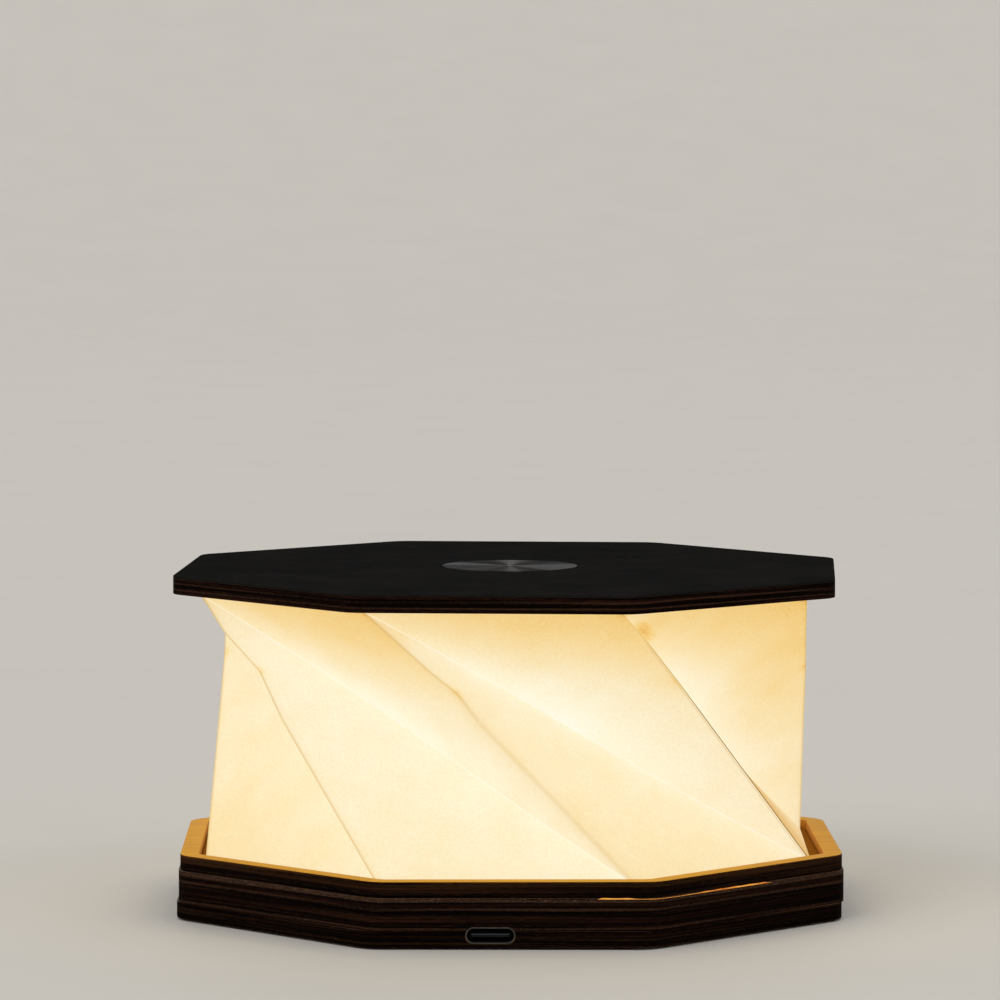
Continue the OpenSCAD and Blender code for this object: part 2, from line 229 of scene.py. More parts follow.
def makeFloor(s):
    # flat in the middle and swept up far away, so that no horizon shows
    flat = s["level"][-1]
    bowl = [(radius, 0.0) for radius in s["level"]]
    for step in range(1, s["rings"] + 1):
        angle = step / s["rings"] * math.pi / 2
        bowl.append((flat + (s["wall"] - flat) * math.sin(angle), s["rise"] * (1 - math.cos(angle))))
    count = s["sides"]
    points = [(0, 0, 0)]
    for radius, height in bowl:
        for step in range(count):
            angle = 2 * math.pi * step / count
            points.append((radius * math.cos(angle), radius * math.sin(angle), height))
    faces = [(0, 1 + step, 1 + (step + 1) % count) for step in range(count)]
    for ring in range(len(bowl) - 1):
        for step in range(count):
            a = 1 + ring * count + step
            b = 1 + ring * count + (step + 1) % count
            faces.append((a, a + count, b + count, b))
    mesh = newMesh("floor", points, faces)
    mesh.polygons.foreach_set("use_smooth", [True] * len(mesh.polygons))
    mesh.materials.append(newMaterial("floorPaint", floorLinks(s), Roughness=0.75, Specular_IOR_Level=0.2))
    floor = newObject("floor", mesh)


def makeSky(s):
    # seen directly, mirrored or through something clear, the sky is brighter than the light it gives
    world = bpy.data.worlds.new("world")
    bpy.context.scene.world = world
    world.use_nodes = True
    tree = world.node_tree
    path = addNode(tree, "ShaderNodeLightPath").outputs
    seen = calc(tree, "ADD", path["Is Camera Ray"], path["Is Glossy Ray"])
    seen = calc(tree, "MINIMUM", calc(tree, "ADD", seen, path["Is Transmission Ray"]), 1.0)
    back = tree.nodes["Background"]
    back.inputs["Color"].default_value = s["sky"]
    tree.links.new(remap(tree, seen, 0.0, 1.0, s["skyLight"], 1.0), back.inputs["Strength"])


# direction each light comes from, its spread in degrees and its power
lightSet = [
    {"name": "key", "spot": (-0.9, -1.0, 1.2), "spread": 42, "power": 0.75},
    {"name": "fill", "spot": (1.2, -0.8, 0.9), "spread": 60, "power": 0.40},
    {"name": "back", "spot": (0.2, 1.3, 1.1), "spread": 50, "power": 0.30},
]


def makeLight(s):
    data = bpy.data.lights.new(s["name"], "SUN")
    data.angle = math.radians(s["spread"])
    data.energy = s["power"]
    light = newObject(s["name"], data)
    spot = Vector(s["spot"])
    look = (-spot).to_track_quat("-Z", "Y")
    light.matrix_world = Matrix.Translation(spot) @ look.to_matrix().to_4x4()


bpy.context.scene.view_settings.view_transform = "Standard"
makeFloor(stageSet)
makeSky(stageSet)
for item in lightSet:
    makeLight(item)
print("stage made")


# Shared surface effects


def buildSpeckle(tree, given, out):
    # two close colours in coarse and fine spots
    scale = calc(tree, "DIVIDE", 1.0, given["Size"])
    fields = {0: place(tree), "Scale": scale}
    vector = addNode(tree, "ShaderNodeVectorMath", fields, operation="SCALE").outputs[0]
    coarse = noiseOf(tree, vector, 1.0, 4, 0.6)
    fine = noiseOf(tree, vector, 6.0, 2, 0.5)
    both = calc(tree, "ADD", calc(tree, "MULTIPLY", coarse, 0.65), calc(tree, "MULTIPLY", fine, 0.35))
    value = remap(tree, both, 0.36, 0.64)
    tree.links.new(mixColour(tree, value, given["Dark"], given["Light"]), out["Color"])
    tree.links.new(value, out["Value"])


def buildStreak(tree, given, out):
    # fibres that run along an edge, level with the floor, and flecks
    long = noiseOf(tree, place(tree, (0.02, 0.02, 1.8)), 1.0, 2, 0.5)
    short = noiseOf(tree, place(tree, (0.6, 0.6, 12)), 1.0, 3, 0.6)
    fleck = noiseOf(tree, place(tree, (2.2, 2.2, 9)), 1.0, 2, 0.5)
    both = calc(tree, "ADD", calc(tree, "MULTIPLY", long, 0.6), calc(tree, "MULTIPLY", short, 0.4))
    tree.links.new(remap(tree, both, 0.40, 0.60), out["Streak"])
    tree.links.new(remap(tree, fleck, 0.56, 0.70, smooth=True), out["Fleck"])


speckle = newGroup(
    "speckle",
    [
        ("Dark", "NodeSocketColor", (0, 0, 0, 1)),
        ("Light", "NodeSocketColor", (1, 1, 1, 1)),
        ("Size", "NodeSocketFloat", 1.0),
    ],
    [("Color", "NodeSocketColor"), ("Value", "NodeSocketFloat")],
    buildSpeckle,
)
streak = newGroup("streak", [], [("Streak", "NodeSocketFloat"), ("Fleck", "NodeSocketFloat")], buildStreak)


# Plain finishes: two close colours, spot size in mm, roughness range, and what differs from the usual

usualFinish = {"bump": 0.2, "depth": 0.00003, "sockets": {}}
finishes = {
    "silicone": {"dark": (58, 58, 60), "light": (74, 74, 76), "size": 0.8, "rough": (0.5, 0.7)},
    "coverBlack": {
        "dark": (26, 26, 28), "light": (38, 38, 40), "size": 0.35, "rough": (0.5, 0.75), "bump": 0.5,
    },
    "screwSteel": {
        "dark": (96, 98, 102), "light": (168, 170, 174), "size": 0.5, "rough": (0.22, 0.42),
        "sockets": {"Metallic": 1.0},
    },
    # the deck's tone is darkened as painted shade, for the shadow in the recess round the shade's foot
    "deckCardAndShade": {
        "dark": (136, 84, 24), "light": (160, 106, 38), "size": 0.6, "rough": (0.7, 0.85),
        "sockets": {"Specular_IOR_Level": 0.0},
    },
    "opalSheet": {
        "dark": (232, 230, 222), "light": (244, 243, 238), "size": 2.5, "rough": (0.3, 0.45),
        "glow": (255, 226, 170), "sockets": {"Emission_Strength": 0.8},
    },
    "boardWhite": {"dark": (222, 224, 222), "light": (240, 241, 240), "size": 0.7, "rough": (0.35, 0.5)},
    "ledFace": {
        "dark": (236, 206, 96), "light": (250, 226, 120), "size": 0.4, "rough": (0.3, 0.5),
        "glow": (255, 214, 140), "sockets": {"Emission_Strength": 1.0},
    },
    "cellFoil": {
        "dark": (150, 152, 156), "light": (196, 198, 200), "size": 3.0, "rough": (0.25, 0.5), "bump": 0.6,
        "sockets": {"Metallic": 0.85},
    },
    "foamTape": {
        "dark": (120, 118, 112), "light": (156, 154, 148), "size": 0.3, "rough": (0.85, 0.95), "bump": 0.8,
    },
    "boardGreen": {"dark": (14, 60, 38), "light": (30, 92, 58), "size": 1.2, "rough": (0.3, 0.45)},
    "nylon": {"dark": (206, 202, 190), "light": (226, 223, 212), "size": 0.9, "rough": (0.4, 0.55)},
    "inletSteel": {
        "dark": (70, 67, 63), "light": (106, 102, 95), "size": 0.45, "rough": (0.28, 0.45),
        "sockets": {"Metallic": 1.0},
    },
    "chipBlack": {"dark": (24, 25, 27), "light": (42, 43, 45), "size": 0.3, "rough": (0.5, 0.7)},
    "leadRed": {"dark": (150, 18, 16), "light": (188, 34, 28), "size": 0.8, "rough": (0.35, 0.5)},
    "leadWhite": {"dark": (214, 212, 206), "light": (236, 234, 228), "size": 0.8, "rough": (0.35, 0.5)},
    "magnetNickel": {
        "dark": (138, 137, 132), "light": (186, 184, 178), "size": 0.6, "rough": (0.18, 0.34),
        "sockets": {"Metallic": 1.0},
    },
    "flangePaper": {
        "dark": (232, 222, 198), "light": (246, 240, 222), "size": 0.7, "rough": (0.75, 0.9), "bump": 0.5,
    },
}


def plainFinish(name, given):
    s = {**usualFinish, **given}

    def links(tree):
        light = srgb(*s["light"])
        spots = useGroup(tree, speckle, {"Dark": srgb(*s["dark"]), "Light": light, "Size": s["size"]})
        found = {
            "Base Color": spots["Color"],
            "Roughness": remap(tree, spots["Value"], 0, 1, *s["rough"]),
            "Normal": bumpOf(tree, spots["Value"], s["bump"], s["depth"]),
        }
        if "glow" in s:
            found["Emission Color"] = mixColour(tree, spots["Value"], srgb(*s["glow"]), light)
        return found

    return newMaterial(name, links, **s["sockets"])


made = {name: plainFinish(name, s) for name, s in finishes.items()}


# Burnt plywood edges, with heights in mm above the table

plyTones = {
    "char": (11, 6, 4), "brown": (29, 15, 10), "pale": (50, 33, 24),
    "joint": (56, 40, 31), "honey": (46, 28, 15), "gold": (83, 50, 24),
}
plyFlecks = {"pale": 0.32, "joint": 1.0}  # how much of such a ply has flecks

# each ply has the height of its top and its tone; soft is the blur of a joint and drift how far it wanders
baseEdgeSet = {
    "low": 0.0, "high": 12.5, "soft": 0.08, "drift": 0.10,
    "darkStreak": (8, 3, 2), "paleStreak": (58, 37, 24), "fleck": (112, 88, 72),
    "plies": [
        (0.5, "brown"), (2.2, "char"), (2.5, "brown"), (3.2, "char"),
        (3.5, "brown"), (3.9, "pale"), (4.8, "char"), (5.8, "brown"),
        (6.9, "char"), (7.4, "pale"), (8.4, "brown"), (9.1, "joint"),
        (10.2, "char"), (10.7, "brown"), (11.7, "honey"), (12.5, "gold"),
    ],
}
plateEdgeSet = {
    "low": 58.5, "high": 62.5, "soft": 0.06, "drift": 0.05,
    "darkStreak": (8, 3, 2), "paleStreak": (58, 34, 24), "fleck": (100, 74, 58),
    "plies": [
        (59.1, "char"), (59.4, "brown"), (59.7, "char"), (60.0, "pale"),
        (60.8, "char"), (61.1, "pale"), (62.5, "char"),
    ],
}


def plyStops(s):
    # two stops for each ply, so that its tone is even and its joint crisp
    stops = []
    low = s["low"]
    for top, tone in s["plies"]:
        stops += [(low + s["soft"], tone), (top - s["soft"], tone)]
        low = top
    return [((z - s["low"]) / (s["high"] - s["low"]), tone) for z, tone in stops]


def plyLinks(s):
    # bands by height, streaks along the edge, and pale flecks in the glue joints
    def links(tree):
        height = calc(tree, "MULTIPLY", placeParts(tree)[2], 1000)
        wander = noiseOf(tree, place(tree, (0.05, 0.05, 0.4)), 1.0, 2)
        wave = calc(tree, "ADD", height, remap(tree, wander, 0.3, 0.7, -s["drift"], s["drift"]))
        level = remap(tree, wave, s["low"], s["high"])
        bands = colourRamp(tree, level, [(at, srgb(*plyTones[tone])) for at, tone in plyStops(s)])
        marks = useGroup(tree, streak)
        burnt = remap(tree, marks["Streak"], 0.1, 0.6, 0.88, 0.0)
        worn = remap(tree, marks["Streak"], 0.62, 1, 0, 0.42)
        wood = mixColour(tree, burnt, bands, srgb(*s["darkStreak"]))
        wood = mixColour(tree, worn, wood, srgb(*s["paleStreak"]))
        shares = [(at, plyFlecks.get(tone, 0.0)) for at, tone in plyStops(s)]
        flecks = colourRamp(tree, level, [(at, (share, share, share, 1)) for at, share in shares])
        amount = calc(tree, "MULTIPLY", flecks, marks["Fleck"])
        return {
            "Base Color": mixColour(tree, amount, wood, srgb(*s["fleck"])),
            "Roughness": remap(tree, marks["Streak"], 0, 1, 0.72, 0.88),
            "Normal": bumpOf(tree, calc(tree, "ADD", marks["Streak"], amount), 0.55, 0.00006),
        }

    return links


made["baseEdge"] = newMaterial("baseEdge", plyLinks(baseEdgeSet), Specular_IOR_Level=0.01)
made["plateEdge"] = newMaterial("plateEdge", plyLinks(plateEdgeSet), Specular_IOR_Level=0.01)


# Veneer faces

veneerSet = {
    # the rim's top: wood tone with the warm glow of the lit shade painted in
    "rimFaceAndGlow": {
        "dark": (204, 142, 40), "light": (226, 170, 56), "pore": (172, 108, 30), "pores": 0.28, "shine": 0.08,
    },
    # inner walls: wood tone with painted warm glow from the lit shade
    "innerWallAndGlow": {
        "dark": (170, 104, 26), "light": (196, 132, 42), "pore": (120, 68, 20), "pores": 0.35, "shine": 0.08,
    },
    "plyFace": {
        "dark": (66, 44, 30), "light": (98, 68, 46), "pore": (34, 20, 14), "pores": 0.6, "shine": 0.3,
    },
}


def veneerLinks(s):
    # long grain along X with fine pores
    def links(tree):
        grain = noiseOf(tree, place(tree, (0.03, 0.8, 0.8)), 1.0, 5, 0.62, 0.3)
        pores = remap(tree, noiseOf(tree, place(tree, (0.35, 5.0, 5.0)), 1.0, 3, 0.6), 0.54, 0.72)
        tone = mixColour(tree, remap(tree, grain, 0.32, 0.68), srgb(*s["dark"]), srgb(*s["light"]))
        amount = calc(tree, "MULTIPLY", pores, s["pores"])
        return {
            "Base Color": mixColour(tree, amount, tone, srgb(*s["pore"])),
            "Roughness": remap(tree, grain, 0.3, 0.7, 0.55, 0.75),
            "Normal": bumpOf(tree, calc(tree, "SUBTRACT", grain, pores), 0.25, 0.00005),
        }

    return links


for name, s in veneerSet.items():
    made[name] = newMaterial(name, veneerLinks(s), Specular_IOR_Level=s["shine"])


# Black face of the top plate

skinSet = {"dark": (21, 21, 21), "light": (28, 27, 27), "tooth": (42, 41, 40)}


def skinLinks(tree):
    # matt laminate with a very fine tooth and faint rubbed patches
    s = skinSet
    tooth = noiseOf(tree, place(tree), 4.0, 4, 0.6)
    patch = noiseOf(tree, place(tree), 0.09, 5, 0.6)
    tone = mixColour(tree, remap(tree, patch, 0.35, 0.65), srgb(*s["dark"]), srgb(*s["light"]))
    return {
        "Base Color": mixColour(tree, remap(tree, tooth, 0.48, 0.66, 0, 0.7), tone, srgb(*s["tooth"])),
        "Roughness": remap(tree, patch, 0.35, 0.65, 0.70, 0.80),
        "Normal": bumpOf(tree, tooth, 0.35, 0.00003),
    }


made["faceSkin"] = newMaterial("faceSkin", skinLinks, Specular_IOR_Level=0.0)


# Metal disc, with lengths in metres and angles in radians round its middle

discSet = {
    "dark": (60, 61, 64), "light": (86, 86, 88),
    "broad": (100, 100, 102), "broadShare": 0.3,
    # painted light: fan is soft fans of light, blue a reflection, and middle a glint at the centre
    "fan": (150, 150, 150), "fanShare": 0.7, "fanPolish": 0.16,
    "blue": (56, 62, 104), "blueAngle": 1.62, "blueReach": (0.06, 0.30), "blueShare": 0.7,
    "middle": (190, 188, 182), "glintReach": (0.0002, 0.0011), "glintShare": 0.7,
    "rough": (0.36, 0.46),
}


def discLinks(tree):
    # spun metal: fine rings round the middle, soft painted fans of light, a painted blue reflection and a
    # painted glint at the centre
    s = discSet
    x, y = placeParts(tree)[:2]
    radius = calc(tree, "SQRT", calc(tree, "ADD", calc(tree, "POWER", x, 2), calc(tree, "POWER", y, 2)))
    ring = addNode(tree, "ShaderNodeCombineXYZ", {0: calc(tree, "MULTIPLY", radius, 1000)}).outputs[0]
    fine = noiseOf(tree, ring, 9.0, 3, 0.7)
    broad = noiseOf(tree, ring, 1.2, 2, 0.5)
    angle = calc(tree, "ARCTAN2", y, x)
    circle = {0: calc(tree, "COSINE", angle), 1: calc(tree, "SINE", angle)}
    turn = addNode(tree, "ShaderNodeCombineXYZ", circle).outputs[0]
    fan = remap(tree, noiseOf(tree, turn, 1.7, 1, 0.5), 0.36, 0.62, smooth=True)
    away = calc(tree, "ABSOLUTE", calc(tree, "SUBTRACT", angle, s["blueAngle"]))
    blue = remap(tree, away, *s["blueReach"], s["blueShare"], 0, True)
    # painted glint at the centre
    middle = remap(tree, radius, *s["glintReach"], s["glintShare"], 0, True)
    tone = mixColour(tree, remap(tree, fine, 0.3, 0.7), srgb(*s["dark"]), srgb(*s["light"]))
    tone = mixColour(tree, remap(tree, broad, 0.3, 0.7, 0, s["broadShare"]), tone, srgb(*s["broad"]))
    tone = mixColour(tree, calc(tree, "MULTIPLY", fan, s["fanShare"]), tone, srgb(*s["fan"]))
    tone = mixColour(tree, blue, tone, srgb(*s["blue"]))
    polish = calc(tree, "MULTIPLY", fan, s["fanPolish"])
    return {
        "Base Color": mixColour(tree, middle, tone, srgb(*s["middle"])),
        "Roughness": calc(tree, "SUBTRACT", remap(tree, fine, 0.3, 0.7, *s["rough"]), polish),
        "Normal": bumpOf(tree, fine, 0.5, 0.00004),
        "Tangent": addNode(tree, "ShaderNodeTangent", direction_type="RADIAL", axis="Z").outputs[0],
    }


made["spunMetal"] = newMaterial(
    "spunMetal", discLinks, Metallic=1.0, Anisotropic=0.8, Specular_Tint=(0.12, 0.12, 0.125, 1)
)


# Tongue of the charging inlet: black, with the faint shine of its contact strip, in mm

tongueSet = {
    "dark": (8, 8, 9), "light": (18, 18, 20), "strip": (74, 80, 90),
    "stripHeight": 2.66, "stripReach": (0.04, 0.11), "stripShare": 0.7,
}


def tongueLinks(tree):
    s = tongueSet
    height = calc(tree, "MULTIPLY", placeParts(tree)[2], 1000)
    off = calc(tree, "ABSOLUTE", calc(tree, "SUBTRACT", height, s["stripHeight"]))
    strip = remap(tree, off, *s["stripReach"], 1, 0, True)
    grain = noiseOf(tree, place(tree), 2.4, 3)
    tone = mixColour(tree, grain, srgb(*s["dark"]), srgb(*s["light"]))
    shine = calc(tree, "MULTIPLY", strip, s["stripShare"])
    return {
        "Base Color": mixColour(tree, shine, tone, srgb(*s["strip"])),
        "Roughness": remap(tree, grain, 0.3, 0.7, 0.4, 0.6),
    }


made["tongueBlack"] = newMaterial("tongueBlack", tongueLinks, Specular_IOR_Level=0.15)


# The finish of each CAD node that is shown as it is

dress = {
    "silicone": ["feet"],
    "coverBlack": ["bottom_cover"],
    "screwSteel": ["cover_screws", "led_board_screws", "board_screws"],
    # the deck carries painted shade of the recess
    "deckCardAndShade": ["tray_deck"],
    "opalSheet": ["diffuser"],
    "boardWhite": ["led_board"],
    "ledFace": ["leds"],
    "cellFoil": ["cell"],
    "foamTape": ["cell_tape"],
    "boardGreen": ["main_board"],
    "nylon": ["board_spacers", "cell_socket", "led_socket"],
    "inletSteel": ["inlet_shell"],
    "tongueBlack": ["inlet_tongue"],
    "chipBlack": ["charge_chip", "driver_chip", "inductor", "field_sensor"],
    "leadRed": ["cell_leads"],
    "leadWhite": ["led_leads"],
    "magnetNickel": ["base_magnets", "disc_magnet", "plate_magnets", "trigger_magnet"],
    "flangePaper": ["lower_flange", "upper_flange"],
    "spunMetal": ["metal_disc"],
}
for finish, names in dress.items():
    for name in names:
        nodes[name].data.materials.clear()
        nodes[name].data.materials.append(made[finish])
print("materials made")


# Plywood layers: the CAD outline with its outer edges eased, in mm

layerSet = [
    {"node": "bottom_frame", "name": "bottomLayer", "edge": "baseEdge", "face": "plyFace", "ease": 0.12},
    {"node": "lower_frame", "name": "lowerLayer", "edge": "baseEdge", "face": "plyFace", "ease": 0.12},
    {"node": "upper_frame", "name": "upperLayer", "edge": "baseEdge", "face": "plyFace", "ease": 0.12},
    # the rim's top face has the shade's warm glow painted into its colour
    {"node": "rim_frame", "name": "rimLayer", "edge": "baseEdge", "face": "rimFaceAndGlow", "ease": 0.16},
    {
        "node": "top_plate", "name": "topPlate", "edge": "plateEdge", "face": "plyFace", "ease": 0.10,
        "body": "top",
    },
    {
        "node": "plate_skin", "name": "plateSkin", "edge": "faceSkin", "face": "faceSkin", "ease": 0.12,
        "body": "top",
    },
]
# lengths in metres, angles in radians
easeSet = {
    "weld": 2e-6,
    "flat": 0.01,
    "corner": 0.9,  # edges at least this sharp are eased
    "outside": 0.05,  # and this far from the middle
    "level": 1e-6,
    "segments": 2,
    "profile": 0.55,
    "faceUp": 0.8,  # a face this level is top or bottom, not edge
    "smooth": 0.45,
}


def isOuterEdge(edge):
    first, second = edge.verts
    return (
        len(edge.link_faces) == 2
        and edge.calc_face_angle(0) > easeSet["corner"]
        and all(Vector(v.co[:2]).length > easeSet["outside"] for v in edge.verts)
        and abs(first.co.z - second.co.z) < easeSet["level"]
    )


def makeLayer(s):
    source = nodes[s["node"]]
    bm = bmesh.new()
    bm.from_mesh(source.data)
    bmesh.ops.remove_doubles(bm, verts=bm.verts, dist=easeSet["weld"])
    bmesh.ops.dissolve_limit(bm, angle_limit=easeSet["flat"], verts=bm.verts, edges=bm.edges)
    bmesh.ops.bevel(
        bm,
        geom=[edge for edge in bm.edges if isOuterEdge(edge)],
        offset=s["ease"] * mm,
        segments=easeSet["segments"],
        profile=easeSet["profile"],
        affect="EDGES",
        clamp_overlap=True,
    )
    for face in bm.faces:
        face.smooth = True
        level = abs(face.normal.z) > easeSet["faceUp"]
        inside = face.normal.xy.dot(face.calc_center_median().xy) < 0
        face.material_index = 1 if level else 2 if inside else 0
    for edge in bm.edges:
        edge.smooth = len(edge.link_faces) == 2 and edge.calc_face_angle(0) < easeSet["smooth"]
    mesh = bpy.data.meshes.new(s["name"])
    bm.to_mesh(mesh)
    bm.free()
    # inner faces take the wood tone with painted warm glow
    materials = [made[s["edge"]], made[s["face"]], made["innerWallAndGlow"]]
    piece = showPiece(s["name"], mesh, materials, s.get("body", "base"))
    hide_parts(s["node"])


for item in layerSet:
    makeLayer(item)
print("plywood made")


# Warm light that leaks through the joint under the rim, on the right of the front, in mm and degrees

leakSet = {
    "width": 120.8, "turn": 1.0, "corner": 6.0,
    "low": 8.925, "height": 0.23, "start": 284.4, "end": 320.6, "steps": 120, "proud": 0.03,
    "ripple": 0.1, "ripples": 61,  # small waves in the gap
    # each edge of the strip's two bands: its share of the height, and how far back it lies
    "profile": ((0, 0.0), (0.5, 0.01), (1, 0.05)),
    # how far the gap opens along its length
    "gap": (
        (0, 0.1), (0.02, 1.1), (0.13, 1.0), (0.18, 0.4), (0.40, 0.35),
        (0.54, 0.8), (0.68, 1.15), (0.95, 1.1), (1, 0.1),
    ),
    "glow": ((0.30, (170, 78, 18)), (0.45, (222, 124, 36)), (0.58, (252, 178, 70)), (0.70, (236, 136, 40))),
    "spark": (255, 196, 90), "dark": (96, 44, 16), "light": (142, 78, 30),
}


def leakLinks(tree):
    s = leakSet
    wander = noiseOf(tree, place(tree), 0.16, 3, 0.6)
    grain = noiseOf(tree, place(tree), 1.1, 3, 0.6)
    tone = colourRamp(tree, wander, [(at, srgb(*colour)) for at, colour in s["glow"]])
    return {
        "Base Color": mixColour(tree, grain, srgb(*s["dark"]), srgb(*s["light"])),
        "Emission Color": mixColour(tree, remap(tree, grain, 0.35, 0.7, 0, 0.3), tone, srgb(*s["spark"])),
        "Roughness": remap(tree, grain, 0.3, 0.7, 0.6, 0.85),
    }


made["leakGlow"] = newMaterial("leakGlow", leakLinks, Specular_IOR_Level=0.1, Emission_Strength=0.8)


def octagonSpot(width, corner, turn, azimuth):
    # point of a rounded octagon's outline at one azimuth
    half = math.radians(22.5)
    local = math.radians((azimuth - turn + 22.5) % 45 - 22.5)
    inner = width / 2 - corner
    reach = inner * math.tan(half)
    if abs(local) <= math.atan2(reach, width / 2):
        length = width / 2 / math.cos(local)
    else:
        hub = math.hypot(inner, reach)
        off = half - abs(local)
        length = hub * math.cos(off) + math.sqrt(corner**2 - (hub * math.sin(off)) ** 2)
    angle = math.radians(azimuth)
    return Vector((length * math.cos(angle), length * math.sin(angle), 0))


def makeLeak(s):
    points, faces = [], []
    for step in range(s["steps"] + 1):
        part = step / s["steps"]
        azimuth = s["start"] + (s["end"] - s["start"]) * part
        spot = octagonSpot(s["width"] + 2 * s["proud"], s["corner"], s["turn"], azimuth)
        wave = 1 - s["ripple"] + s["ripple"] * math.sin(part * s["ripples"])
        gap = np.interp(part, *zip(*s["gap"])) * wave
        for share, back in s["profile"]:
            rise = Vector((0, 0, s["low"] + s["height"] * gap * share))
            points.append((spot - spot.normalized() * back + rise) * mm)
    count = len(s["profile"])
    for step in range(s["steps"]):
        for level in range(count - 1):
            a = step * count + level
            faces.append((a, a + count, a + count + 1, a + 1))
    showPiece("jointGlow", newMesh("jointGlow", points, faces), [made["leakGlow"]], "base")


makeLeak(leakSet)
print("joint glow made")


# Paper shade: one creased sheet, folded with a twist. A spot is radius, turn and height, in mm and degrees

shadeSet = {
    "head": (59.53, -3.1, 58.8), "foot": (59.53, -0.5, 10.6),
    "bend": 0.3,  # where the kink is, as a share of an outer fold's length
    "rounding": (-0.007, 0, 0.007),  # shifts along a fold whose mean rounds off its kink
    "valleyIn": 2.0,  # how far an inner fold bends inward
    "bow": 0.3, "bowWidth": 45, "bowEnds": 0.15,  # bulge of a panel this wide, and where it fades
    "rows": 80, "columns": 28,
    "keep": 0.029,  # share of the height left when the lamp is closed
    # each outer fold: a spot above the kink, the kink, and a spot below it
    "folds": [
        ((56.80, 2.26, 52.16), (54.60, 11.95, 45.98), (53.89, 18.12, 37.78)),
        ((55.24, 8.06, 47.98), (54.34, 12.74, 44.39), (53.92, 17.00, 39.01)),
        ((56.85, 3.26, 52.74), (54.67, 10.56, 45.82), (54.20, 17.40, 38.90)),
        ((57.30, 2.60, 52.30), (55.40, 11.20, 44.90), (54.65, 17.60, 38.30)),
        ((56.90, 3.00, 52.40), (54.50, 11.60, 45.10), (53.95, 17.50, 38.40)),
        ((56.80, 2.70, 52.30), (54.40, 10.90, 44.40), (53.90, 17.20, 38.20)),
        ((57.00, 2.90, 52.20), (54.60, 11.50, 45.50), (54.00, 17.80, 38.30)),
        ((56.90, 2.80, 52.40), (54.50, 11.00, 45.20), (53.95, 17.30, 38.60)),
    ],
}


def ringPoint(index, spot):
    # fold 0 starts at the corner left of the front, and each next one an eighth of a turn on
    radius, turn, height = spot
    angle = math.radians(202.5 + 45 * index + turn)
    return np.array((radius * math.cos(angle), radius * math.sin(angle), height))


def alongPath(stops, steps, shares):
    return np.array([np.interp(shares, steps, [stop[axis] for stop in stops]) for axis in range(3)]).T


def curve(shares, stops):
    return np.interp(shares, *zip(*stops))


def outward(line):
    return line * (1, 1, 0) / np.linalg.norm(line[:, :2], axis=1)[:, None]


def foldPaths(s, shares):
    outer, inner = [], []
    for index in range(8):
        middle = [ringPoint(index, spot) for spot in s["folds"][index]]
        stops = [ringPoint(index, s["head"]), *middle, ringPoint(index + 1, s["foot"])]
        lengths = np.cumsum([0] + [np.linalg.norm(b - a) for a, b in zip(stops, stops[1:])])
        # the kink sits at one share of the length on every fold, so rows stay level round the shade
        steps = np.interp(lengths, [0, lengths[2], lengths[4]], [0, s["bend"], 1])
        path = sum(alongPath(stops, steps, np.clip(shares + shift, 0, 1)) for shift in s["rounding"])
        path = path / len(s["rounding"])
        path[0], path[-1] = stops[0], stops[4]
        outer.append(path)
        line = alongPath([stops[0], ringPoint(index + 2, s["foot"])], [0, 1], shares)
        inner.append(line - outward(line) * (s["valleyIn"] * np.sin(np.pi * shares))[:, None])
    return outer, inner


def panelPoints(s, half, shares, left, right):
    lines = []
    for part in np.linspace(0, 1, s["columns"] + 1):
        line = left + (right - left) * part
        wide = np.linalg.norm(right - left, axis=1) / s["bowWidth"]
        ease = np.clip(np.minimum(shares, 1 - shares) / s["bowEnds"], 0, 1)
        push = s["bow"] * wide * ease * math.sin(math.pi * part) * (1 - 2 * half)
        lines.append(line + outward(line) * push[:, None])
    return np.concatenate(lines)


def pathDistance(spots, path):
    # from each spot to the nearest piece of the path, in mm
    best = np.full(len(spots), 99.0)
    for start, end in zip(path[:-1:2], path[2::2]):
        along = end - start
        share = np.clip((spots - start) @ along / (along @ along), 0, 1)
        best = np.minimum(best, np.linalg.norm(spots - start - share[:, None] * along, axis=1))
    return best


def near(spots, centre, size, power=2):
    # 1 at the centre, falling to nothing a little beyond the size
    return np.exp(-((np.linalg.norm(spots - centre, axis=1) / size) ** power))


